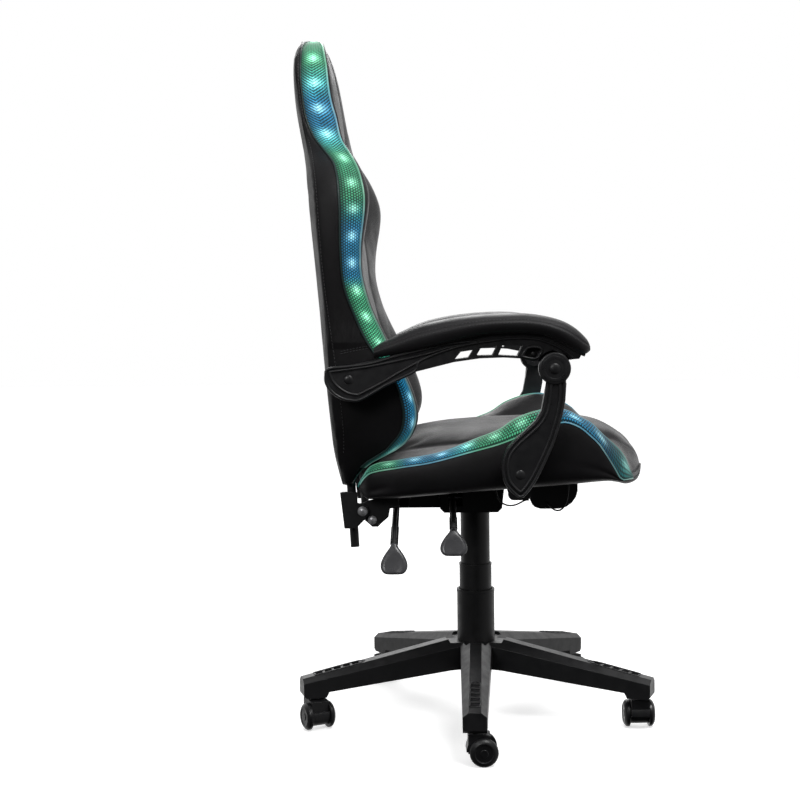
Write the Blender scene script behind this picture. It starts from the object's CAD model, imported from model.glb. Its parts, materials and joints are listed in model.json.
import json
import math

import bpy
import numpy as np
from mathutils import Matrix, Vector


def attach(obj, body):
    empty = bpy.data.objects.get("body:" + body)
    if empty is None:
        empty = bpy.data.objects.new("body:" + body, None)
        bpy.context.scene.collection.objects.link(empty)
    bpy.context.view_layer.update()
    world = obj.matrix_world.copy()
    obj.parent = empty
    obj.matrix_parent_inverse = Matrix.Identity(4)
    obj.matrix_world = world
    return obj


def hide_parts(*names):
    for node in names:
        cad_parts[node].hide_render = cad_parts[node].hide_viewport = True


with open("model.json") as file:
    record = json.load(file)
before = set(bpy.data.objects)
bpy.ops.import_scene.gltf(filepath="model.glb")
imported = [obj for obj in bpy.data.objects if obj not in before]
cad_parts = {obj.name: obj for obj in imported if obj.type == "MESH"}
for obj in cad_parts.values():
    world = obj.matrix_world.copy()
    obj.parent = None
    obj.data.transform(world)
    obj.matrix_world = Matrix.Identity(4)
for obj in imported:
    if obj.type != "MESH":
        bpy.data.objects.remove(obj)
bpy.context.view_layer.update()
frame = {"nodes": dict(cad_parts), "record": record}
nodes = frame["nodes"]
scene = bpy.context.scene
MM = 0.001
RIGHT, LEFT = -1, 1  # sides of the sitter, as signs of Y


# ---- Camera, floor and light ----
def make_camera():
    yaw, pitch, roll = -0.030, -0.064, -0.012
    data = bpy.data.cameras.new("camera")
    data.sensor_width = 36
    data.lens = 66.16
    forward = Vector((math.sin(yaw) * math.cos(pitch), math.cos(yaw) * math.cos(pitch), math.sin(pitch)))
    level = Vector((math.cos(yaw), -math.sin(yaw), 0))
    up = level.cross(forward)
    side = level * math.cos(roll) + up * math.sin(roll)
    top = up * math.cos(roll) - level * math.sin(roll)
    camera = bpy.data.objects.new("camera", data)
    turn = Matrix((side, top, -forward)).transposed().to_4x4()
    camera.matrix_world = Matrix.Translation((-0.0574, -2.8174, 0.7910)) @ turn
    scene.collection.objects.link(camera)
    scene.camera = camera


def make_light(name, place, aim, size, power):
    data = bpy.data.lights.new(name, "AREA")
    data.shape = "DISK"
    data.size = size
    data.energy = power
    lamp = bpy.data.objects.new(name, data)
    lamp.location = place
    lamp.rotation_euler = (Vector(aim) - Vector(place)).to_track_quat("-Z", "Y").to_euler()
    scene.collection.objects.link(lamp)


def make_world():
    """White backdrop; the light comes from above, from +Y, and a little from both ends of X."""
    world = bpy.data.worlds.new("studio")
    scene.world = world
    world.use_nodes = True
    tree = world.node_tree
    way = tree.nodes.new("ShaderNodeSeparateXYZ")
    tree.links.new(tree.nodes.new("ShaderNodeTexCoord").outputs["Generated"], way.inputs[0])
    total = None
    for axis, low, high, power in ((2, 0.1, 1.0, 0.50), (1, 0.0, 1.0, 0.95), (0, 0.2, 1.0, 0.30),
                                   (0, -0.3, -1.0, 0.15)):
        part = tree.nodes.new("ShaderNodeMapRange")
        for key, value in (("From Min", low), ("From Max", high), ("To Max", power)):
            part.inputs[key].default_value = value
        tree.links.new(way.outputs[axis], part.inputs["Value"])
        if total:
            both = tree.nodes.new("ShaderNodeMath")
            tree.links.new(total, both.inputs[0])
            tree.links.new(part.outputs["Result"], both.inputs[1])
            total = both.outputs[0]
        else:
            total = part.outputs["Result"]
    seen = tree.nodes.new("ShaderNodeMix")
    tree.links.new(tree.nodes.new("ShaderNodeLightPath").outputs["Is Camera Ray"], seen.inputs["Factor"])
    tree.links.new(total, seen.inputs["A"])
    seen.inputs["B"].default_value = 1.0
    tree.nodes["Background"].inputs["Color"].default_value = (1, 1, 1, 1)
    tree.links.new(seen.outputs["Result"], tree.nodes["Background"].inputs["Strength"])


scene.view_settings.view_transform = "Standard"
make_camera()
make_world()
make_light("key", (1.0, -1.6, 3.2), (0, 0, 0.5), 1.4, 60)
make_light("fill", (-1.4, -2.9, 1.9), (0, 0, 0.6), 1.0, 20)
make_light("back", (-0.4, 2.6, 2.6), (0, 0, 0.8), 2.2, 45)


# ---- Materials ----
class Finish:
    """One node material. Numbers that are the same all over are set on the shader's own sockets."""

    def __init__(self, name, color, roughness, **sockets):
        self.material = bpy.data.materials.new(name)
        self.material.use_nodes = True
        self.tree = self.material.node_tree
        self.shader = self.tree.nodes["Principled BSDF"]
        self.shader.inputs["Base Color"].default_value = (*color, 1)
        self.shader.inputs["Roughness"].default_value = roughness
        for key, value in sockets.items():
            self.shader.inputs[key.replace("_", " ")].default_value = value
        self.place = self.add("ShaderNodeTexCoord").outputs["Object"]

    def put(self, socket, value):
        if hasattr(value, "is_output"):
            self.tree.links.new(value, socket)
        elif value is not None:
            socket.default_value = value

    def add(self, kind, inputs=None, **settings):
        node = self.tree.nodes.new(kind)
        for key, value in settings.items():
            setattr(node, key, value)
        for key, value in (inputs or {}).items():
            self.put(node.inputs[key], value)
        return node

    def math(self, operation, a, b=None, clamp=False):
        return self.add("ShaderNodeMath", {0: a, 1: b}, operation=operation, use_clamp=clamp).outputs[0]

    def noise(self, scale, detail=3.0, rough=0.5, where=None):
        return self.add("ShaderNodeTexNoise", {"Vector": where or self.place, "Scale": scale,
                        "Detail": detail, "Roughness": rough}).outputs["Fac"]

    def cells(self, scale, feature="DISTANCE_TO_EDGE", where=None):
        return self.add("ShaderNodeTexVoronoi", {"Vector": where or self.place, "Scale": scale},
                        feature=feature).outputs["Distance"]

    def ramp(self, value, stops):
        node = self.add("ShaderNodeValToRGB", {"Fac": value})
        spots = node.color_ramp.elements
        while len(spots) < len(stops):
            spots.new(0.5)
        for spot, (place, color) in zip(spots, stops):
            spot.position = place
            spot.color = (*color, 1) if len(color) == 3 else color
        return node.outputs["Color"]

    def span(self, value, low, high, to_low=0.0, to_high=1.0):
        return self.add("ShaderNodeMapRange", {"Value": value, "From Min": low, "From Max": high,
                        "To Min": to_low, "To Max": to_high}).outputs["Result"]

    def mix(self, share, a, b, kind="MIX"):
        node = self.add("ShaderNodeMix", data_type="RGBA", blend_type=kind)
        self.put(node.inputs["Factor"], share)
        for key, value in (("A", a), ("B", b)):
            socket = [s for s in node.inputs if s.name == key and s.type == "RGBA"][0]
            self.put(socket, (*value, 1) if isinstance(value, tuple) else value)
        return [s for s in node.outputs if s.type == "RGBA"][0]

    def bump(self, height, distance, strength=1.0, edge=0.0):
        """Surface relief, with edges rounded to the radius edge."""
        normal = None
        if edge:
            normal = self.add("ShaderNodeBevel", {"Radius": edge}, samples=4).outputs["Normal"]
        node = self.add("ShaderNodeBump", {"Height": height, "Distance": distance, "Strength": strength})
        if normal:
            self.put(node.inputs["Normal"], normal)
        self.put(self.shader.inputs["Normal"], node.outputs["Normal"])
        return self

    def wear(self, base, worn, radius=0.002):
        """Colour that lightens along sharp edges, in patches."""
        soft = self.add("ShaderNodeBevel", {"Radius": radius}, samples=4).outputs["Normal"]
        hard = self.add("ShaderNodeNewGeometry").outputs["Normal"]
        dot = self.add("ShaderNodeVectorMath", {0: soft, 1: hard}, operation="DOT_PRODUCT").outputs["Value"]
        edge = self.span(dot, 0.98, 0.80)
        share = self.math("MULTIPLY", edge, self.span(self.noise(45, 4), 0.4, 0.7), clamp=True)
        self.put(self.shader.inputs["Base Color"], self.mix(share, base, worn))
        return self


def leather(name, dark, light, rough, gloss=0.30, creased=None, sheen=0.0):
    """Grained leather. creased gives the low and high edge of a stretch, by height, with upright folds."""
    f = Finish(name, dark, rough, Specular_IOR_Level=gloss, Sheen_Weight=sheen, Sheen_Roughness=0.38)
    tone = f.noise(9, 4)
    f.put(f.shader.inputs["Base Color"], f.ramp(tone, [(0.35, dark), (0.7, light)]))
    grain = f.math("MINIMUM", f.cells(620), 0.25)
    fine = f.math("MULTIPLY", f.noise(1900, 2), 0.35)
    wave = f.math("MULTIPLY", f.noise(38, 3), 1.1)
    height = f.math("ADD", f.math("MULTIPLY", grain, 2.2), f.math("ADD", fine, wave))
    if creased:
        low, high = creased
        z = f.add("ShaderNodeSeparateXYZ", {0: f.place}).outputs[2]
        there = f.math("MULTIPLY", f.span(z, low, low + 0.012), f.span(z, high, low + 0.03))
        upright = f.add("ShaderNodeMapping", {"Vector": f.place, "Scale": (1, 1, 0.16)}).outputs["Vector"]
        folds = f.math("MULTIPLY", f.noise(75, 2, 0.5, upright), 22)
        height = f.math("ADD", height, f.math("MULTIPLY", there, folds))
    f.put(f.shader.inputs["Roughness"], f.span(f.noise(24, 3), 0.3, 0.7, rough - 0.06, rough + 0.08))
    return f.bump(height, 0.00035, 0.55)


def plastic(name, color, worn, rough, grain=900, edge=0.0012, depth=0.00010):
    f = Finish(name, color, rough, Specular_IOR_Level=0.45)
    f.wear(color, worn)
    f.put(f.shader.inputs["Roughness"], f.span(f.noise(60, 4), 0.3, 0.7, rough - 0.07, rough + 0.1))
    height = f.math("ADD", f.cells(grain, "F1"), f.noise(grain * 0.4, 2))
    return f.bump(height, depth, 0.6, edge)


def metal(name, color, rough, metallic=1.0, brushed=False):
    f = Finish(name, color, rough, Metallic=metallic)
    where = f.place
    if brushed:
        where = f.add("ShaderNodeMapping", {"Vector": f.place, "Scale": (1, 1, 14)}).outputs["Vector"]
    streaks = f.noise(300, 3, 0.6, where)
    f.put(f.shader.inputs["Roughness"], f.span(streaks, 0.3, 0.7, rough - 0.08, rough + 0.1))
    smudge = f.ramp(f.noise(30, 4), [(0.3, tuple(c * 0.8 for c in color)), (0.7, color)])
    f.put(f.shader.inputs["Base Color"], smudge)
    return f.bump(f.noise(700, 2, 0.5, where), 0.00006, 0.5, 0.0006)


def fabric(name, dark, light, scale, depth):
    f = Finish(name, dark, 0.85, Sheen_Weight=0.3)
    x, y = (f.add("ShaderNodeTexWave", {"Vector": f.place, "Scale": scale, "Distortion": 0.4},
                  bands_direction=way) for way in ("X", "Y"))
    weave = f.math("MULTIPLY", x.outputs["Fac"], y.outputs["Fac"])
    f.put(f.shader.inputs["Base Color"], f.ramp(weave, [(0.1, dark), (0.8, light)]))
    return f.bump(weave, depth, 0.7)


DEEP_GREEN, GREEN, CYAN = (0.008, 0.095, 0.052), (0.085, 0.500, 0.255), (0.085, 0.560, 0.600)
BLUE, TEAL, DEEP_BLUE = (0.030, 0.270, 0.500), (0.030, 0.330, 0.300), (0.010, 0.085, 0.180)
LAMP_PITCH = 0.0468
LAMP_TINT = (0.62, 1.0, 0.86)
NET_PITCH = 0.0050
RIB_PITCH = 0.0056


def lit_mesh(name, axis, low, high, stops, power, phase, dim_edge, ribbed_from, width, spread):
    """Net lit from behind: colour and strength run along one axis, with a bright spot at each lamp.

    The net's holes lie on a triangular grid, from UVs in metres along and a share across. Beyond a place
    on the axis the net turns into V-shaped ribs."""
    f = Finish(name, (0.008, 0.014, 0.014), 0.55, Specular_IOR_Level=0.2)
    along = f.add("ShaderNodeSeparateXYZ", {0: f.place}).outputs[axis]
    share = f.span(along, low, high)
    strength = f.ramp(share, power)
    turn = f.math("MULTIPLY", f.math("SUBTRACT", along, phase), 2 * math.pi / LAMP_PITCH)
    lamp = f.math("POWER", f.math("MAXIMUM", f.span(f.math("COSINE", turn), -0.8, 1.0), 0.0), spread)
    uv = f.add("ShaderNodeSeparateXYZ", {0: f.add("ShaderNodeTexCoord").outputs["UV"]}).outputs
    off = f.math("ABSOLUTE", f.math("SUBTRACT", uv[1], 0.52))
    middle = f.math("POWER", f.math("MAXIMUM", f.span(off, 0.44, 0.0), 0.0), 1.7)
    spot = f.math("MULTIPLY", lamp, middle)
    edge = f.math("MULTIPLY", f.span(uv[1], 0.0, dim_edge, 0.12, 1.0), f.span(uv[1], 1.0, 0.8, 0.45, 1.0))
    across = f.math("MULTIPLY", uv[1], width)
    waves = None
    for lean in (90, 30, -30):
        a, b = math.cos(math.radians(lean)), math.sin(math.radians(lean))
        lane = f.math("ADD", f.math("MULTIPLY", uv[0], a), f.math("MULTIPLY", across, b))
        wave = f.math("COSINE", f.math("MULTIPLY", lane, 2 * math.pi / (NET_PITCH * math.cos(math.pi / 6))))
        waves = f.math("ADD", waves, wave) if waves else wave
    fold = f.math("ABSOLUTE", f.math("SUBTRACT", across, width * 0.45))
    rib = f.math("COSINE", f.math("MULTIPLY", f.math("SUBTRACT", uv[0], f.math("MULTIPLY", fold, 0.85)),
                                  2 * math.pi / RIB_PITCH))
    ribs = f.math("ADD", f.math("MULTIPLY", rib, 1.1), f.math("MULTIPLY", waves, 0.25))
    ribbed = f.span(along, ribbed_from - 0.06, ribbed_from + 0.06)
    kept = f.math("SUBTRACT", 1.0, ribbed)
    relief = f.math("ADD", f.math("MULTIPLY", waves, kept), f.math("MULTIPLY", ribs, ribbed))
    hole = f.span(relief, -0.8, 1.2)
    net = f.math("ADD", f.math("MULTIPLY", hole, f.span(spot, 0.0, 0.8, 1.35, 0.85)),
                 f.span(spot, 0.0, 0.8, 0.04, 0.38))
    patchy = f.span(f.noise(38, 3), 0.3, 0.7, 0.72, 1.2)
    level = f.math("MULTIPLY", f.math("MULTIPLY", net, f.math("MULTIPLY", edge, patchy)),
                   f.math("ADD", f.math("MULTIPLY", spot, 1.15), 0.60))
    tint = f.mix(f.math("MULTIPLY", spot, 0.38, clamp=True), f.ramp(share, stops), LAMP_TINT)
    glow = f.mix(1.0, tint, level, "MULTIPLY")
    f.put(f.shader.inputs["Emission Color"], f.mix(1.0, glow, strength, "MULTIPLY"))
    f.shader.inputs["Emission Strength"].default_value = 1.35
    f.put(f.shader.inputs["Base Color"], f.mix(hole, (0.022, 0.036, 0.034), (0.004, 0.006, 0.006)))
    return f.bump(hole, -0.0005, 0.7)


def lit_edge(name, axis, low, high, stops, power, phase):
    """Piping of clear vinyl that glows in the colours of its band."""
    f = Finish(name, (0.02, 0.04, 0.035), 0.30, Coat_Weight=0.4)
    along = f.add("ShaderNodeSeparateXYZ", {0: f.place}).outputs[axis]
    share = f.span(along, low, high)
    color = f.mix(1.0, f.ramp(share, stops), f.ramp(share, power), "MULTIPLY")
    turn = f.math("MULTIPLY", f.math("SUBTRACT", along, phase), 2 * math.pi / LAMP_PITCH)
    lamp = f.math("POWER", f.math("MAXIMUM", f.math("COSINE", turn), 0.0), 1.6)
    tint = f.mix(f.math("ADD", f.math("MULTIPLY", lamp, 0.12), 0.16), color, LAMP_TINT)
    f.put(f.shader.inputs["Emission Color"], tint)
    f.shader.inputs["Emission Strength"].default_value = 0.70
    return f.bump(f.noise(700, 2), 0.0001, 0.5)


# Light colours along the backrest, from its foot (0) to its top (1), and along the seat, from rear to front
BACK_STOPS = [(0.0, DEEP_GREEN), (0.04, TEAL), (0.10, BLUE), (0.21, BLUE), (0.27, GREEN), (0.405, GREEN),
              (0.435, BLUE), (0.545, BLUE), (0.575, TEAL), (0.61, GREEN), (0.71, GREEN), (0.745, CYAN),
              (0.78, BLUE), (0.835, BLUE), (0.875, CYAN), (0.925, GREEN), (1.0, GREEN)]
BACK_POWER = [(0.0, (0.30,) * 3), (0.08, (0.60,) * 3), (0.15, (1.0,) * 3), (0.30, (1.15,) * 3),
              (0.62, (0.85,) * 3), (0.72, (1.2,) * 3), (0.95, (1.25,) * 3), (1.0, (1.0,) * 3)]
SEAT_STOPS = [(0.0, TEAL), (0.06, GREEN), (0.12, GREEN), (0.17, BLUE), (0.30, BLUE), (0.36, CYAN),
              (0.42, GREEN), (0.60, GREEN), (0.66, TEAL), (0.71, BLUE), (0.80, BLUE), (0.86, DEEP_BLUE),
              (0.94, TEAL), (1.0, DEEP_GREEN)]
SEAT_POWER = [(0.0, (0.45,) * 3), (0.10, (0.65,) * 3), (0.28, (0.95,) * 3), (0.5, (0.80,) * 3),
              (0.75, (0.95,) * 3), (0.9, (0.55,) * 3), (1.0, (0.25,) * 3)]
EDGE_POWER = [(0.0, (0.12,) * 3), (0.12, (0.25,) * 3), (0.45, (0.40,) * 3), (0.60, (0.75,) * 3),
              (0.75, (1.1,) * 3), (1.0, (1.2,) * 3)]
FOOT_Z, TOP_Z, REAR_X, NOSE_X = 0.50, 1.29, -0.21, 0.30
back_light = lit_mesh("back_light", 2, FOOT_Z, TOP_Z, BACK_STOPS, BACK_POWER, 0.7725, 0.35, 1.02, 0.044, 2.2)
back_edge = lit_edge("back_edge", 2, FOOT_Z, TOP_Z, BACK_STOPS, EDGE_POWER, 0.7725)
back_rear_edge = plastic("back_rear_edge", (0.010, 0.030, 0.028), (0.03, 0.06, 0.055), 0.40)
seat_light = lit_mesh("seat_light", 0, REAR_X, NOSE_X, SEAT_STOPS, SEAT_POWER, -0.11, 0.12, 9.0, 0.030, 1.5)
seat_edge = lit_edge("seat_edge", 0, REAR_X, NOSE_X, SEAT_STOPS, SEAT_POWER, -0.11)
black_leather = leather("black_leather", (0.0085, 0.0080, 0.0088), (0.0125, 0.0118, 0.0128), 0.42, sheen=0.16)
side_leather = leather("side_leather", (0.0060, 0.0056, 0.0062), (0.0100, 0.0094, 0.0104), 0.42, 0.20,
                       (0.716, 0.82))
pad_leather = leather("pad_leather", (0.0100, 0.0095, 0.0104), (0.0145, 0.0137, 0.0150), 0.44, 0.30,
                      sheen=0.05)
thread = fabric("thread", (0.018, 0.018, 0.020), (0.050, 0.050, 0.055), 900, 0.0002)
base_nylon = plastic("base_nylon", (0.012, 0.012, 0.013), (0.060, 0.060, 0.065), 0.36)
cover_plastic = plastic("cover_plastic", (0.013, 0.013, 0.014), (0.050, 0.050, 0.055), 0.40)
hood_plastic = plastic("hood_plastic", (0.012, 0.012, 0.013), (0.055, 0.055, 0.060), 0.34)
wheel_nylon = plastic("wheel_nylon", (0.009, 0.009, 0.010), (0.050, 0.050, 0.055), 0.30)
arm_plastic = plastic("arm_plastic", (0.013, 0.013, 0.014), (0.060, 0.060, 0.065), 0.34, 1300)
box_plastic = plastic("box_plastic", (0.010, 0.010, 0.011), (0.045, 0.045, 0.048), 0.50)
paddle_plastic = plastic("paddle_plastic", (0.060, 0.060, 0.064), (0.16, 0.16, 0.17), 0.24, 500)
lever_rubber = plastic("lever_rubber", (0.008, 0.008, 0.009), (0.030, 0.030, 0.032), 0.60, 1500)
lead_pvc = plastic("lead_pvc", (0.008, 0.008, 0.009), (0.030, 0.030, 0.032), 0.45, 2000, 0.0003)
led_white = plastic("led_white", (0.80, 0.85, 0.80), (0.90, 0.90, 0.88), 0.30)
black_steel = metal("black_steel", (0.012, 0.012, 0.013), 0.42, 0.0)
column_steel = metal("column_steel", (0.013, 0.013, 0.014), 0.38, 0.0)
bright_steel = metal("bright_steel", (0.55, 0.55, 0.57), 0.30, 1.0, True)
dome_steel = metal("dome_steel", (0.62, 0.62, 0.64), 0.30, 0.55)
plywood = fabric("plywood", (0.30, 0.19, 0.10), (0.48, 0.33, 0.19), 60, 0.0002)
foam = fabric("foam", (0.55, 0.48, 0.30), (0.72, 0.65, 0.45), 500, 0.0004)
BY_SLOT = {
    "base_nylon": base_nylon, "column_steel": column_steel, "bright_steel": bright_steel,
    "cover_plastic": cover_plastic, "hood_plastic": hood_plastic, "wheel_nylon": wheel_nylon,
    "black_steel": black_steel, "dome_steel": dome_steel, "lever_rubber": lever_rubber,
    "paddle_plastic": paddle_plastic, "plywood": plywood, "foam": foam, "black_leather": black_leather,
    "light_mesh": back_light, "led_white": led_white, "box_plastic": box_plastic, "lead_pvc": lead_pvc,
    "arm_plastic": arm_plastic}
for entry in frame["record"]["subparts"]:
    node = nodes[entry["node"]]
    node.data.materials.clear()
    node.data.materials.append(BY_SLOT[entry["material_slot"]].material)


# ---- Mesh helpers ----
def piece(name, points, faces, finish, body, slot, smooth=True, uv=None):
    """A mesh piece that rides on a body. uv has one pair for each point."""
    mesh = bpy.data.meshes.new(name)
    mesh.from_pydata([tuple(p) for p in points], [], [tuple(f) for f in faces])
    mesh.materials.append(finish.material)
    mesh.polygons.foreach_set("use_smooth", [smooth] * len(mesh.polygons))
    if uv is not None:
        layer = mesh.uv_layers.new(name="along_across")
        corners = np.zeros(len(mesh.loops), int)
        mesh.loops.foreach_get("vertex_index", corners)
        layer.data.foreach_set("uv", np.asarray(uv, float)[corners].ravel())
    mesh.update()
    item = bpy.data.objects.new(name, mesh)
    scene.collection.objects.link(item)
    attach(item, body)
    return item


def modify(item, kind, **settings):
    modifier = item.modifiers.new(kind.lower(), kind)
    for key, value in settings.items():
        setattr(modifier, key, value)
    return item


def grid_faces(rows, cols, closed=False):
    """Quads between rows of points; closed joins each row's last point to its first."""
    steps = cols if closed else cols - 1
    return [(j * cols + i, (j + 1) * cols + i, (j + 1) * cols + (i + 1) % cols, j * cols + (i + 1) % cols)
            for j in range(rows - 1) for i in range(steps)]


def wire(name, paths, radius, finish, body, closed=False, sides=2):
    """Round piping or rims along paths of points, as one curve piece."""
    data = bpy.data.curves.new(name, "CURVE")
    data.dimensions = "3D"
    data.bevel_depth = radius
    data.bevel_resolution = sides
    data.use_fill_caps = True
    for path in paths:
        line = data.splines.new("POLY")
        line.points.add(len(path) - 1)
        for spot, p in zip(line.points, path):
            spot.co = (*p, 1)
        line.use_cyclic_u = closed
        line.use_smooth = True
    data.materials.append(finish.material)
    item = bpy.data.objects.new(name, data)
    scene.collection.objects.link(item)
    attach(item, body)
    return item


def lathe_points(profile, centre, axis, steps=48):
    """Rings of points round an axis. profile is (radius, distance along the axis) pairs."""
    z = Vector(axis).normalized()
    x = z.orthogonal().normalized()
    y = z.cross(x)
    return [Vector(centre) + z * h + (x * math.cos(a) + y * math.sin(a)) * r
            for r, h in profile for a in (2 * math.pi * i / steps for i in range(steps))]


def lathe(name, profile, centre, axis, finish, body, slot, steps=48):
    points = lathe_points(profile, centre, axis, steps)
    faces = grid_faces(len(profile), steps, True)
    faces += [tuple(range(steps)), tuple(range(len(points) - 1, len(points) - steps - 1, -1))]
    return piece(name, points, faces, finish, body, slot)


def smooth_line(points, n=4):
    """Open curve through points."""
    p = [np.asarray(q, float) for q in points]
    result = []
    for i in range(len(p) - 1):
        a, b, c, d = p[max(i - 1, 0)], p[i], p[i + 1], p[min(i + 2, len(p) - 1)]
        for k in range(n):
            u = k / n
            result.append(0.5 * (2 * b + (c - a) * u + (2 * a - 5 * b + 4 * c - d) * u**2
                                 + (3 * b - a - 3 * c + d) * u**3))
    return result + [p[-1]]


def join_meshes(parts):
    """One list of points and faces out of several."""
    points, faces = [], []
    for p, f in parts:
        start = len(points)
        points += list(p)
        faces += [tuple(i + start for i in face) for face in f]
    return points, faces


# ---- Curves, as in the CAD ----
def curve(x, table):
    """Smooth curve through [place, value] pairs."""
    i = 0
    while i < len(table) - 2 and x >= table[i + 1][0]:
        i += 1
    a, b, c = table[max(i - 1, 0)], table[i], table[i + 1]
    d = table[min(i + 2, len(table) - 1)]
    h = c[0] - b[0]
    u = (x - b[0]) / h
    m = (c[1] - a[1]) / (c[0] - a[0]) * h
    n = (d[1] - b[1]) / (d[0] - b[0]) * h
    return ((2 * u**3 - 3 * u**2 + 1) * b[1] + (u**3 - 2 * u**2 + u) * m
            + (3 * u**2 - 2 * u**3) * c[1] + (u**3 - u**2) * n)


def ring(points, n):
    """Closed smooth ring through points, with n steps a side."""
    p = np.asarray(points, float)
    rows = []
    for i in range(len(p)):
        a, b, c, d = p[i - 1], p[i], p[(i + 1) % len(p)], p[(i + 2) % len(p)]
        for k in range(n):
            u = k / n
            rows.append((2 * b + (c - a) * u + (2 * a - 5 * b + 4 * c - d) * u * u
                         + (3 * b - a - 3 * c + d) * u**3) / 2)
    return np.array(rows)


def whole(half):
    return half + [(a, -b) for a, b in half[-2:0:-1]]


def even(table, low, high, count):
    """Places from low to high that are evenly spread along the table's curve."""
    fine = np.linspace(low, high, 1500)
    value = np.array([curve(x, table) for x in fine])
    run = np.concatenate([[0], np.cumsum(np.hypot(np.diff(fine), np.diff(value)))])
    return np.interp(np.linspace(0, run[-1], count), run, fine)


BACK_REAR = [(466, -240), (520, -245), (628, -255), (780, -268), (920, -280), (1040, -292),
             (1140, -313), (1220, -321), (1258, -321), (1280, -316), (1287, -311), (1290, -304)]
BACK_WING = [(466, -226), (492, -210), (508, -194), (520, -176), (531, -152), (548, -126),
             (572, -109), (600, -103), (626, -107), (660, -119), (735, -157), (793, -183), (850, -197),
             (895, -196), (955, -186), (985, -184), (1010, -190), (1042, -205), (1067, -221),
             (1092, -236), (1160, -250), (1210, -259), (1262, -270), (1280, -277), (1287, -285),
             (1290, -296)]
BACK_MIDDLE = [(466, -228), (490, -217), (508, -208), (530, -197), (548, -179), (562, -167),
               (580, -158), (610, -154), (700, -174), (800, -198), (900, -216), (1000, -234), (1060, -243),
               (1100, -246), (1160, -252), (1210, -260), (1262, -271), (1280, -278), (1287, -286),
               (1290, -297)]
BACK_HALF = [(466, 206), (490, 222), (520, 236), (560, 248), (620, 256), (700, 258),
             (760, 256), (870, 263), (960, 263), (1000, 252), (1040, 222), (1075, 182), (1110, 160),
             (1160, 150), (1210, 142), (1245, 122), (1268, 90), (1282, 56), (1290, 16)]
BAND_REAR = [(500, -206), (507, -194), (524, -172), (544, -154), (565, -136), (583, -125),
             (600, -120), (618, -122), (653, -139), (727, -190), (776, -212.5), (828, -230), (889, -235),
             (975, -236), (1040, -246), (1074, -270), (1095, -286), (1135, -302), (1182, -310),
             (1238, -311), (1300, -312)]
BAND_FRONT = [(500, -190), (507, -178), (522, -154), (539, -136), (556, -122), (574, -112),
              (592, -107), (618, -108), (644, -112), (667, -121), (732, -149), (760, -163),
              (784, -177.5), (811, -187.5), (833, -194), (888, -200), (974, -192), (1026, -202),
              (1064, -220), (1106, -238), (1162, -256), (1237, -266), (1272, -274), (1300, -278)]
SEAT_HALF = [(-214, 205), (-200, 238), (-180, 251), (-120, 256), (0, 257), (150, 257),
             (220, 250), (256, 238), (272, 216), (286, 180), (298, 135), (306, 90), (311, 56)]
SEAT_FLOOR = [(-214, 463), (-205, 451), (-193, 446), (0, 460), (213, 475), (250, 476.5),
              (280, 475.5), (296, 476), (304, 478.5), (309, 484), (311, 490)]
SEAT_SIDE = [(-214, 468), (-203, 488), (-188, 501), (-136, 511), (-83, 519), (-13, 537),
             (39, 551), (92, 571), (149, 588), (179, 579), (200, 561.5), (213, 549), (222, 536),
             (234, 517), (246, 497), (257, 477), (270, 476), (311, 490)]
SEAT_RIDGE = [(-214, 472), (-189, 508), (-136, 520), (-65, 533), (5, 559), (40, 573),
              (67, 591), (102, 604), (140, 609), (165, 603), (184, 592), (197, 585.5), (208, 577),
              (219, 565), (231, 554), (243, 543), (252, 534), (264, 519), (272, 502), (277, 485),
              (279, 477), (300, 478), (311, 491)]
SEAT_MIDDLE = [(-214, 478), (-200, 502), (-185, 522), (-160, 544), (-110, 557), (-8, 566),
               (126, 571), (210, 573), (232, 571.5), (250, 566), (268, 554), (284, 540), (296, 528),
               (304, 514), (309, 500), (311, 492)]
PAD_FLOOR = [(-177, 702), (-150, 706), (-63, 724.5), (5, 739), (56, 742.5), (108, 739.5),
             (142, 727), (168, 712), (184, 705), (194, 711)]
PAD_TOP = [(-177, 720), (-165, 728), (-140, 739), (-115, 751), (-89, 760), (-29, 771), (40, 776),
           (91, 775), (142, 764), (168, 750), (184, 735), (191, 726), (194, 716)]
PAD_SIDE = [(-177, 0.5), (-168, 0.55), (-150, 0.6), (-130, 0.68), (-115, 0.76), (-60, 0.9), (20, 1), (110, 1),
            (150, 0.93), (175, 0.78), (189, 0.55), (194, 0.35)]


def back_half(z, d):
    """Half a backrest section as (x, y); the band's seams are points 4 and 5."""
    deep = curve(z, BACK_WING) - curve(z, BACK_REAR)
    e = d * min(1, deep / 20)
    r, f = curve(z, BACK_REAR) + e - 5 * min(1, deep / 60), curve(z, BACK_WING) - e
    m = curve(z, BACK_MIDDLE) - e
    w, t = curve(z, BACK_HALF) - e, f - r
    a = min(max(curve(z, BAND_REAR), r + 0.2 * t), r + 0.84 * t)
    b = max(min(curve(z, BAND_FRONT), f - 0.015 * t), a + 0.1 * t)
    return [(r, 0), (r + 0.005 * t, 0.55 * w), (r + 0.02 * t, 0.9 * w), (r + 0.1 * t, 0.975 * w), (a, w),
            (b, 0.988 * w), (f, 0.88 * w), (f - 0.35 * (f - m) - 0.03 * t, 0.73 * w),
            (m + 0.2 * (f - m), 0.6 * w), (m, 0.42 * w), (m + 0.05 * t, 0)]


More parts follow.
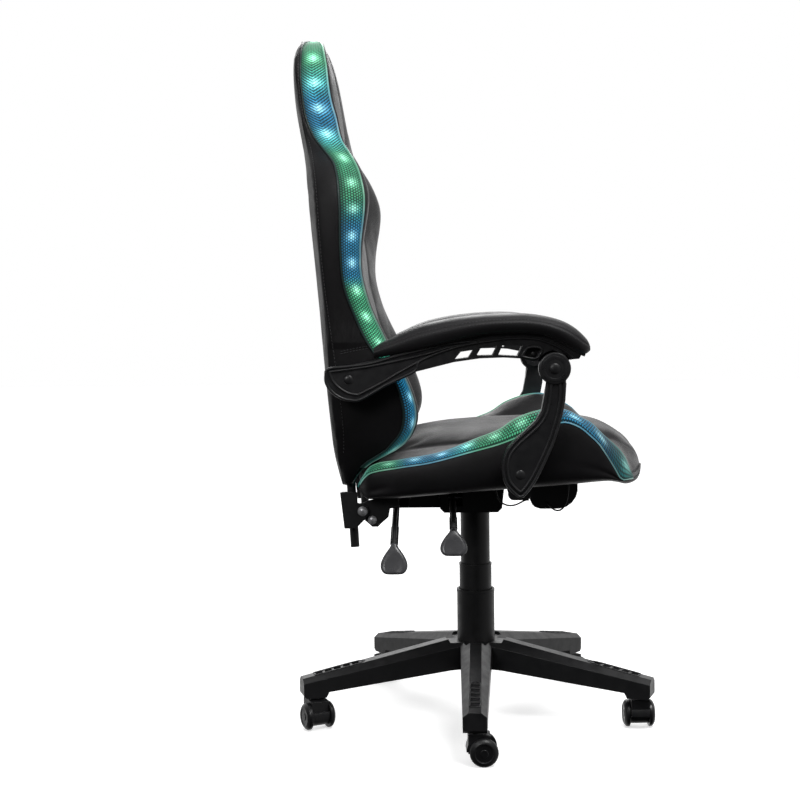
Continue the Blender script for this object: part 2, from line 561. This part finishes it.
def seat_half(x, d):
    """Half a seat section as (z, y); the band's seams are points 4 and 6."""
    deep = curve(x, SEAT_MIDDLE) - curve(x, SEAT_FLOOR)
    e = d * min(1, deep / 20)
    h, b, w = deep - 2 * e, curve(x, SEAT_FLOOR) + e, curve(x, SEAT_HALF) - e
    m, v = b + h, b + h - 26 * h / 110
    lip = 14 * (0.5 - 0.5 * math.cos(math.pi * min(1, max(0, (x - 225) / 50))))
    s = max(curve(x, SEAT_SIDE), b + min(6, 0.3 * h))
    r = max(curve(x, SEAT_RIDGE) - e, b + min(9, 0.45 * h))
    return [(b - lip, 0), (b - lip, 0.6 * w), (b + min(2, 0.1 * h) - 0.5 * lip, max(w - 12, 0.9 * w)),
            (b + 0.4 * (s - b), w), (s - min(3, 0.15 * h), w), (s + 0.6 * (r - s), max(w - 8, 0.9 * w)),
            (r, max(w - 30, 0.8 * w)), (r - 0.3 * (r - v), max(w - 62, 0.62 * w)), (v, 0.59 * w),
            (m - min(6, 0.3 * h), 0.47 * w), (m, 0)]


# ---- Padded covers ----
def normals_of(p):
    """Outward normals of a grid of points whose rows are closed rings."""
    along = np.gradient(p, axis=0)
    across = np.roll(p, -1, axis=1) - np.roll(p, 1, axis=1)
    n = np.cross(across, along)
    n /= np.linalg.norm(n, axis=2, keepdims=True) + 1e-12
    outward = p - p.mean(axis=1, keepdims=True)
    return n if (n * outward).sum() > 0 else -n


def puff(p, seams, cap, pressure=4.0, frames=20):
    """Inflates a closed skin by cloth simulation with its seams held, moving no point further than cap."""
    rows, cols = p.shape[:2]
    mesh = bpy.data.meshes.new("puff")
    faces = grid_faces(rows, cols, True)
    faces += [tuple(range(cols)), tuple(range(rows * cols - 1, (rows - 1) * cols - 1, -1))]
    mesh.from_pydata(p.reshape(-1, 3).tolist(), [], faces)
    mesh.update()
    item = bpy.data.objects.new("puff", mesh)
    scene.collection.objects.link(item)
    rest = p.reshape(-1, 3)
    volume = sum((rest[f[0]] @ np.cross(rest[f[1]], rest[f[2]]) for f in faces[:-2]))
    if volume < 0:
        mesh.flip_normals()
    held = np.zeros((rows, cols), bool)
    held[0] = held[-1] = True
    for mask in seams:
        held |= mask
    group = item.vertex_groups.new(name="seams")
    group.add(np.flatnonzero(held).tolist(), 1.0, "REPLACE")
    cloth = item.modifiers.new("cloth", "CLOTH")
    settings = cloth.settings
    settings.quality = 5
    settings.mass = 0.3
    settings.tension_stiffness = settings.compression_stiffness = 12
    settings.shear_stiffness = 6
    settings.bending_stiffness = 0.4
    settings.use_pressure = True
    settings.uniform_pressure_force = pressure
    settings.vertex_group_mass = "seams"
    settings.effector_weights.gravity = 0
    cloth.point_cache.frame_start = 1
    cloth.point_cache.frame_end = frames
    for step in range(1, frames + 1):
        scene.frame_set(step)
    shaped = item.evaluated_get(bpy.context.evaluated_depsgraph_get())
    new = np.array([v.co for v in shaped.data.vertices])
    bpy.data.objects.remove(item)
    bpy.data.meshes.remove(mesh)
    scene.frame_set(1)
    move = new - rest
    far = np.linalg.norm(move, axis=1, keepdims=True)
    move *= np.minimum(1, cap / np.maximum(far, 1e-9))
    return (rest + move).reshape(p.shape)


def groove(p, mask, depth, reach=1):
    """Sinks the masked points, and their neighbours by half as much."""
    n = normals_of(p)
    weight = mask.astype(float)
    for _ in range(reach):
        spread = np.maximum.reduce([np.roll(weight, s, axis=1) for s in (-1, 1)])
        weight = np.maximum(weight, spread * 0.35)
    return p - n * (weight * depth)[..., None]


def stitches(line, normal, side, pitch, length, radius):
    """Short threads along a seam, set off to one side. Returns points and faces."""
    line, normal = np.asarray(line), np.asarray(normal)
    run = np.concatenate([[0], np.cumsum(np.linalg.norm(np.diff(line, axis=0), axis=1))])
    parts = []
    for s in np.arange(pitch, run[-1] - pitch, pitch):
        a = np.array([np.interp(s, run, line[:, k]) for k in range(3)])
        b = np.array([np.interp(s + length, run, line[:, k]) for k in range(3)])
        n = np.array([np.interp(s, run, normal[:, k]) for k in range(3)])
        t = b - a
        across = np.cross(t, n)
        across /= np.linalg.norm(across) + 1e-12
        up = np.cross(across, t) / np.linalg.norm(t)
        if up @ n < 0:
            up = -up
        a, b = a + across * side, b + across * side
        points = []
        for share, size in ((0.0, 0.45), (0.2, 1.0), (0.8, 1.0), (1.0, 0.45)):
            c = a + (b - a) * share + up * radius * (0.2 if size < 1 else 0.7)
            points += [tuple(c + (across * math.cos(q) + up * math.sin(q)) * radius * size)
                       for q in (math.pi * i / 3 for i in range(6))]
        faces = grid_faces(4, 6, True) + [tuple(range(5, -1, -1)), tuple(range(18, 24))]
        parts.append((points, faces))
    return join_meshes(parts)


def panel(name, p, columns, finish, body, slot):
    """Piece made of some columns of a closed skin, with its two ends closed."""
    rows, cols = p.shape[:2]
    keep = p[:, [c % cols for c in columns]]
    count = len(columns)
    faces = grid_faces(rows, count)
    faces += [tuple(range(count)), tuple(range(rows * count - 1, (rows - 1) * count - 1, -1))]
    item = piece(name, keep.reshape(-1, 3), faces, finish, body, slot)
    return modify(item, "SUBSURF", levels=1, render_levels=1)


# ---- Cords: two short light leads under the seat ----
LEADS = {
    "led_lead_rear": [
        (36, -110, 462), (36, -110, 456), (36.5, -110, 450), (37.5, -110, 444), (39, -110, 438),
        (41.5, -110, 432), (45.5, -110, 427), (50.5, -110, 423), (56.5, -110, 420.5), (63, -110, 419.5),
        (69.5, -110, 420), (76, -110, 422), (82, -110, 425), (88, -110, 428.2), (93, -110, 429.8),
        (97.7, -110, 430)],
    "led_lead_front": [
        (128, -150.3, 431), (128, -154, 431), (128.5, -158, 430.4), (130, -161.5, 428.6),
        (132.5, -164, 425.6), (136, -165.5, 422), (140.5, -166.5, 419), (145.5, -167, 417.6),
        (150.5, -167.3, 418.4), (155, -167.5, 421.4), (158.7, -167.7, 426.2), (161.4, -167.8, 432),
        (163.3, -167.9, 438.5), (164.6, -168, 446), (165.4, -168, 454), (165.8, -168, 462),
        (166, -168, 470.5)]}
for name, route in LEADS.items():
    route = [Vector(p) * MM for p in route]
    lead = wire(name + "_cord", [route], 0.0015, lead_pvc, "seat", sides=3)
    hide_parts(name)


# ---- Floor ----
floor_finish = Finish("studio_floor", (0.86, 0.86, 0.86), 0.7, Specular_IOR_Level=0.1, Emission_Strength=0.55,
                      Emission_Color=(1, 1, 1, 1))
floor_finish.put(floor_finish.shader.inputs["Base Color"],
                 floor_finish.ramp(floor_finish.noise(3, 3), [(0.3, (0.86,) * 3), (0.7, (0.89,) * 3)]))
bpy.ops.mesh.primitive_plane_add(size=24)
floor = bpy.context.object
floor.name = "floor"
floor.visible_glossy = False
floor.visible_diffuse = False
floor.data.materials.append(floor_finish.material)


# ---- Backrest and seat ----
STEP = 6  # points between two control points of a section


def column_mask(p, lines, rows=None):
    """Marks whole seam lines of a skin, on both sides; or the part of them in some rows."""
    mask = np.zeros(p.shape[:2], bool)
    for k in lines:
        for c in (k * STEP, (20 - k) * STEP):
            mask[rows if rows is not None else slice(None), c % (20 * STEP)] = True
    return mask


def row_mask(p, places, axis, first, last):
    """Marks rows nearest to some places along an axis, from one line to the other over the middle."""
    mask = np.zeros(p.shape[:2], bool)
    middle = p[:, 0, axis]
    for place in places:
        mask[np.argmin(abs(middle - place)), first * STEP:(20 - first) * STEP + 1] = True
    return mask


heights = even(BACK_HALF, 466.5, 1289.5, 84)
back = np.array([[(q[0], q[1], z) for q in ring(whole(back_half(z, 1.2)), STEP)] for z in heights]) * MM
back_seams = column_mask(back, (3, 4, 5, 8))
back_rows = row_mask(back, (0.640, 0.735, 0.830, 1.055), 2, 8, 12)
back = puff(back, (back_seams, back_rows), 0.007)
back = groove(back, back_seams | back_rows, 0.0016)

places = even(SEAT_MIDDLE, -213.5, 310.7, 68)
seat = np.array([[(x, -q[1], q[0]) for q in ring(whole(seat_half(x, 1.2)), STEP)] for x in places]) * MM
seat_seams = column_mask(seat, (2, 4, 6, 8))
seat_rows = np.zeros(seat.shape[:2], bool)
for c in range(6 * STEP, 14 * STEP + 1):
    seat_rows[np.argmin(abs(seat[:, c, 0] - 0.296 + 1.6 * seat[:, c, 1] ** 2)), c] = True
seat = puff(seat, (seat_seams, seat_rows), 0.008)
seat = groove(seat, seat_seams | seat_rows, 0.0016)


def lines_of(low, high):
    """Columns from line low to line high."""
    return list(range(low * STEP, high * STEP + 1))


def lifted(p, amount):
    return p + normals_of(p) * amount


rear_cover = panel("backrest_rear_cover", back, lines_of(16, 24), side_leather, "backrest", "black_leather")
front_cover = panel("backrest_front_cover", back, lines_of(5, 15), black_leather, "backrest", "black_leather")
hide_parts("back_cover", "back_foam")


def over_the_top(p, left, right, rise=0.0015, steps=5):
    """Rows of points up the right side, over the top and down the left side."""
    a, b = p[:, right], p[:, left]
    bridge = []
    for k in range(1, steps):
        u = k / steps
        bridge.append(a[-1] * (1 - u) + b[-1] * u + np.array([0, 0, rise * math.sin(math.pi * u)]))
    return np.concatenate([a, np.array(bridge), b[::-1]])


def band_piece(name, rows, finish, body):
    """Light band from a grid of points, with along and across UVs."""
    count = rows.shape[1]
    middle = rows[:, count // 2]
    run = np.concatenate([[0], np.cumsum(np.linalg.norm(np.diff(middle, axis=0), axis=1))])
    uv = [(s, i / (count - 1)) for s in run for i in range(count)]
    item = piece(name, rows.reshape(-1, 3), grid_faces(len(rows), count), finish, body, "light_mesh", uv=uv)
    return modify(item, "SUBSURF", levels=1, render_levels=1)


left_cols = list(range(4 * STEP, 5 * STEP + 1))
right_cols = list(range(16 * STEP, 15 * STEP - 1, -1))
keep = heights > 497
back_rows_band = over_the_top(back[keep], left_cols, right_cols)
back_band = band_piece("backrest_light_band", back_rows_band, back_light, "backrest")
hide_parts("back_light_band", "back_led_strip")
outline = lifted(back, 0.0008)[keep]
for name, left, right, finish in (("rear", 4 * STEP, 16 * STEP, back_rear_edge),
                                  ("front", 5 * STEP, 15 * STEP, back_edge)):
    path = over_the_top(outline, [left], [right])[:, 0]
    wire(f"backrest_{name}_piping", [path], 0.0017, finish, "backrest")

under_cover = panel("seat_side_cover", seat, lines_of(16, 24), side_leather, "seat", "black_leather")
top_cover = panel("seat_top_cover", seat, lines_of(6, 14), black_leather, "seat", "black_leather")
lit = int(np.argmin(abs(places - 279))) + 1  # rows that carry the light bands
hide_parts("seat_cover", "seat_foam")
outline = lifted(seat, 0.0008)
for side, columns, seams in (("right", range(4 * STEP, 6 * STEP + 1), (4 * STEP, 6 * STEP)),
                             ("left", range(16 * STEP, 14 * STEP - 1, -1), (16 * STEP, 14 * STEP))):
    band = band_piece(f"seat_{side}_light_band", seat[:lit, list(columns)], seat_light, "seat")
    corner = seat[lit - 1:, list(columns)]
    corner_faces = grid_faces(len(corner), len(list(columns)))
    if side == "right":
        corner_faces = [f[::-1] for f in corner_faces]
    modify(piece(f"seat_{side}_nose_cover", corner.reshape(-1, 3), corner_faces, black_leather, "seat",
                 "black_leather"), "SUBSURF", levels=1, render_levels=1)
    if side == "right":
        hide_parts("seat_light_bands", "seat_led_strips")
    wire(f"seat_{side}_piping", [outline[1:lit, c] for c in seams], 0.0012, seat_edge, "seat")


# ---- Stitching ----
def seam_threads(name, p, columns, rows, sides, body, pitch=0.0062, length=0.0042):
    """Rows of stitches beside some seam lines of a skin."""
    n = normals_of(p)
    parts = [stitches(p[rows, c], n[rows, c], side, pitch, length, 0.00055)
             for c in columns for side in sides]
    points, faces = join_meshes(parts)
    piece(name, points, faces, thread, body, "black_leather")


inner = slice(6, -4)
seam_threads("backrest_threads", back, (8 * STEP, 12 * STEP), inner, (-0.004, 0.004), "backrest")
seam_threads("backrest_edge_threads", back, (3 * STEP, 17 * STEP), inner, (0.004,), "backrest")
SIDE_SEAM = [(-243, 707.5), (-228, 710.5), (-213, 713.5), (-196, 716.5), (-180, 719)]


def on_side(p, x, z, sign):
    """Point of a skin's side panel at some x and z, from its two nearest rows."""
    cols = np.arange(2 * STEP, 4 * STEP + 1) if sign > 0 else np.arange(18 * STEP, 16 * STEP - 1, -1)
    i = int(np.clip(np.searchsorted(heights, z), 1, len(heights) - 1))
    share = (z - heights[i - 1]) / (heights[i] - heights[i - 1])
    a, b = (np.interp(x * MM, p[j, cols, 0], p[j, cols, 1]) for j in (i - 1, i))
    return np.array([x * MM, a * (1 - share) + b * share, z * MM])


for side, sign in (("right", RIGHT), ("left", LEFT)):
    lines = [[on_side(back, x, z + dz, sign) for x, z in smooth_line(SIDE_SEAM)] for dz in (0, 4)]
    for line in lines:
        for q in line:
            q[1] += sign * 0.0003
    parts = [stitches(line, np.tile((0, sign, 0), (len(line), 1)), 0, 0.0056, 0.004, 0.0005)
             for line in lines]
    piece(f"backrest_{side}_seam_threads", *join_meshes(parts), thread, "backrest", "black_leather")
seam_threads("seat_threads", seat, (8 * STEP, 12 * STEP), inner, (-0.004, 0.004), "seat")


# ---- Armrest pads ----
def pad_skin(sign):
    rows = []
    for x in -177 + 371 * (0.5 - 0.5 * np.cos(math.pi * np.linspace(0, 0.985, 44))):
        b, t = curve(x, PAD_FLOOR) + 0.3, curve(x, PAD_TOP)
        w, h = 40 * curve(x, PAD_SIDE), t - curve(x, PAD_FLOOR) - 0.3
        half = [(b, 0), (b, 0.7 * w), (b + 0.25 * h, 0.97 * w), (b + 0.62 * h, w),
                (b + 0.92 * h, 0.7 * w), (t, 0)]
        rows.append([(x, sign * 284 - q[1], q[0]) for q in ring(whole(half), STEP)])
    return np.array(rows) * MM


for side, sign in (("right", RIGHT), ("left", LEFT)):
    pad = pad_skin(sign)
    held = np.zeros(pad.shape[:2], bool)
    for c in (STEP, 3 * STEP, 7 * STEP, 9 * STEP):
        held[:, c] = True
    pad = puff(pad, (held,), 0.004)
    seam = np.zeros(pad.shape[:2], bool)
    seam[:, [3 * STEP, 7 * STEP]] = True
    pad = groove(pad, seam, 0.0012)
    rows, cols = pad.shape[:2]
    faces = grid_faces(rows, cols, True)
    faces += [tuple(range(cols)), tuple(range(rows * cols - 1, (rows - 1) * cols - 1, -1))]
    cushion = piece(f"arm_{side}_cushion", pad.reshape(-1, 3), faces, pad_leather, f"arm_{side}",
                    "black_leather")
    modify(cushion, "SUBSURF", levels=1, render_levels=1)
    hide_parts(f"arm_{side}_pad")
    n = normals_of(pad)
    rows = slice(2, -2)
    parts = [stitches(pad[rows, c], n[rows, c], off, 0.0058, 0.004, 0.00045)
             for c, off in ((3 * STEP, -0.003), (3 * STEP, 0.003), (7 * STEP, -0.003), (7 * STEP, 0.003))]
    piece(f"arm_{side}_threads", *join_meshes(parts), thread, f"arm_{side}", "black_leather")


# ---- Armrest frames and supports: raised rims on their outer faces ----
def inset(outline, d):
    """Closed outline moved in by d."""
    p = np.asarray(outline, float)
    area = np.sum(p[:, 0] * np.roll(p[:, 1], -1) - np.roll(p[:, 0], -1) * p[:, 1])
    before, after = p - np.roll(p, 1, axis=0), np.roll(p, -1, axis=0) - p
    sign = 1 if area > 0 else -1
    result = []
    for a, b, q in zip(before, after, p):
        na, nb = (np.array([-v[1], v[0]]) / np.linalg.norm(v) * sign for v in (a, b))
        mean = (na + nb) / max(np.linalg.norm(na + nb), 1e-6)
        result.append(q + mean * d / max(mean @ na, 0.6))
    return np.array(result)


# Beads of the armrest frame as (x, z): outer edge of the rear bracket, its inner bead that runs on as the
# lower ridge, the two top beads, the upper ridge under the pad, and the rim of the boxed cell
BRACKET = [(5, 728), (-46, 716), (-98, 696), (-107, 679), (-155, 656.5), (-184, 640), (-204, 630),
           (-218, 630), (-234, 634), (-250, 645), (-259, 659), (-260, 673), (-255, 684), (-218, 688),
           (-181, 693), (-139, 704.5), (-98, 713.5), (-46, 725)]
BEADS = [
    [(-254, 679), (-249, 665), (-239, 653), (-224, 643), (-209, 639.5), (-201, 641), (-163, 660), (-132, 678),
     (-98, 696)],
    [(-254, 679), (-215, 683.5), (-177, 689), (-98, 705), (-46, 719), (-12, 724), (49, 732), (95, 732),
     (125, 724), (148, 712), (163, 698.5)],
    [(-150, 703.5), (-98, 714.5), (-63, 722), (5, 736.8), (56, 740.6), (108, 737.6), (142, 725.2),
     (168, 710.2), (184, 703)],
    [(106, 730.5), (136, 718.5), (152, 709), (162, 702)],
    [(128, 715.5), (142, 707.5), (151, 700)]]
CELL = [(77, 704), (87, 717), (106, 717), (110, 710.5), (100, 698), (78, 702)]
SUPPORT = [(120, 672), (116, 652), (114, 635), (109, 609), (99, 592), (81, 575), (64, 560), (50, 544),
           (43, 529), (40, 510), (43, 489), (51, 475), (63, 463), (72, 458), (82, 464), (98, 485),
           (115, 518), (129, 549), (138, 575), (145, 600), (150, 626), (151, 650), (148, 672)]


def flat_loop(points, y):
    return [(x * MM, y * MM, z * MM) for x, z in points]


def dome(name, x, z, y, radius, height, finish, body, slot, sunk=0.6, flat=0.0):
    """Round head on an outer face, flat in its middle; y carries the side's sign."""
    profile = [((flat + (radius - flat) * math.cos(q)) * MM, height * MM * math.sin(q))
               for q in np.linspace(0, 1.5, 8)]
    profile = [(radius * MM, -sunk * MM)] + profile
    return lathe(name, profile, (x * MM, y * MM, z * MM), (0, math.copysign(1, y), 0), finish, body, slot, 32)


for side, sign in (("right", RIGHT), ("left", LEFT)):
    body, support = f"arm_{side}", f"support_{side}"
    wire(f"{body}_edge_bead", [flat_loop(ring(BRACKET, 4), sign * 299.8)], 0.0027, arm_plastic, body,
         closed=True)
    wire(f"{body}_beads", [flat_loop(smooth_line(line), sign * 299.8) for line in BEADS], 0.0026, arm_plastic,
         body)
    wire(f"{body}_cell_rim", [flat_loop(ring(CELL, 3), sign * 301)], 0.0022, arm_plastic, body,
         closed=True)
    dome(f"{body}_bolt_cover", -221, 665, sign * 300, 8, 2.4, arm_plastic, body, "arm_plastic")
    dome(f"{body}_cell_screw", 97, 706, sign * 289, 5, 2.4, black_steel, body, "arm_plastic")
    loops = [flat_loop(ring(inset(SUPPORT, d), 4), sign * 304) for d in (2.8, 10.0)]
    wire(f"{body}_support_rims", loops, 0.0026, arm_plastic, support, closed=True)
    dome(f"{body}_support_cover", 72, 499, sign * 303.6, 8.5, 2.6, arm_plastic, support, "arm_plastic")
    neck = [(x * MM, y * sign * MM, z * MM) for y in (284, 303.6)
            for x, z in ((117.5, 650), (151.5, 650), (151, 670), (119, 670))]
    faces = [(0, 1, 2, 3), (7, 6, 5, 4)] + [(i, i + 4, (i + 1) % 4 + 4, (i + 1) % 4) for i in range(4)]
    if sign < 0:
        faces = [f[::-1] for f in faces]
    piece(f"{body}_support_neck", neck, faces, arm_plastic, support, "arm_plastic", smooth=False)
    dome(f"{body}_elbow_cover", 132, 681, sign * 306.8, 27.6, 1.6, arm_plastic, support, "arm_plastic", 3, 22)
    dome(f"{body}_elbow_dome", 132, 681, sign * 308.4, 9.5, 3.2, arm_plastic, support, "arm_plastic")


# ---- Levers ----
def lever(name, handle, x, inner, knee, tip, long):
    body, pivot = name, Vector((x, -50, 428))
    knee, tip = Vector((x, *knee)), Vector((x, *tip))
    bar = [Vector(inner), pivot, pivot.lerp(knee, 0.5), knee, knee.lerp(tip, 0.5), tip,
           tip + (tip - knee) * 0.2]
    rod = wire(f"{name}_rod", [[p * MM for p in bar]], 0.004, black_steel, body, sides=4)
    pin = wire(f"{name}_pin", [[(pivot + Vector((dx, 0, 0))) * MM for dx in (-27, 27)]], 0.0024, bright_steel,
               body, sides=4)
    start, end = pivot.lerp(knee, 0.25) * MM, tip * MM
    path, profile = end - start, []
    ribs = 17
    for k in range(ribs):
        a = path.length * (0.62 + 0.38 * k / ribs)
        d = path.length * 0.38 / ribs
        profile += [(0.0056, a), (0.0072, a + 0.15 * d), (0.0072, a + 0.6 * d), (0.0056, a + 0.75 * d)]
    profile = [(0.004, 0), (0.0062, 0.0005), (0.0062, path.length * 0.6)] + profile + [(0.0056, path.length)]
    sleeve = lathe(f"{name}_sleeve", profile, start, path, lever_rubber, body, "lever_rubber", 24)
    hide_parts(name)
    rows = []
    shape = [(-2, 5.5, 5.5), (4, 6.2, 6.2), (9, 9.5, 7.6), (16, 15, 8.2), (24, 20, 7.6), (32, 23.6, 6.6),
             (40, 24.4, 5.8), (46, 22.6, 5.2), (50, 19.5, 4.6), (52.5, 16, 3.6), (53.4, 12, 1.6)]
    turn = Matrix.Rotation(math.radians(-28), 3, "X")
    for s, w, t in shape:
        for k in range(28):
            q = 2 * math.pi * k / 28
            c, v = math.cos(q), math.sin(q)
            across = w * math.copysign(abs(c) ** 0.75, c)
            deep = t * math.copysign(abs(v) ** 0.75, v)
            dish = 1.8 * max(0, 1 - (across / (0.7 * w)) ** 2) * min(1, max(0, (s - 14) / 14)) if v < 0 else 0
            rows.append((tip + turn @ Vector((across, deep + dish, -s * long / 53.4))) * MM)
    faces = grid_faces(len(shape), 28, True)
    faces += [tuple(range(28)), tuple(range(len(rows) - 1, len(rows) - 29, -1))]
    paddle = piece(f"{name}_grip", rows, faces, paddle_plastic, body, "paddle_plastic")
    modify(paddle, "SUBSURF", levels=1, render_levels=2)
    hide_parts(handle)


lever("height_lever", "height_paddle", -43, (2, 2.6, 438.2), (-196, 412), (-236, 396), 50)
lever("recline_lever", "recline_paddle", -148, (-148, 0, 428), (-200, 409), (-243, 371), 56)


# ---- Star base: rims round the foot rests ----
for i in range(5):
    turn = Matrix.Rotation(math.radians(-1.7 - 90 + 72 * i), 4, "Z")
    tilt = Matrix.Translation((0, 0, 0.162)) @ Matrix.Rotation(math.radians(11), 4, "Y")
    rim = [(226, 0), (236, 8.5), (250, 10.6), (300, 10.6), (324, 10.2), (326, 9), (326, -9), (324, -10.2),
           (300, -10.6), (250, -10.6), (236, -8.5)]
    path = [(turn @ tilt @ Vector((x * MM, y * MM, 0.0002))) for x, y in rim]
    wire(f"foot_rest_rim_{i + 1}", [path], 0.0013, base_nylon, "base", closed=True)
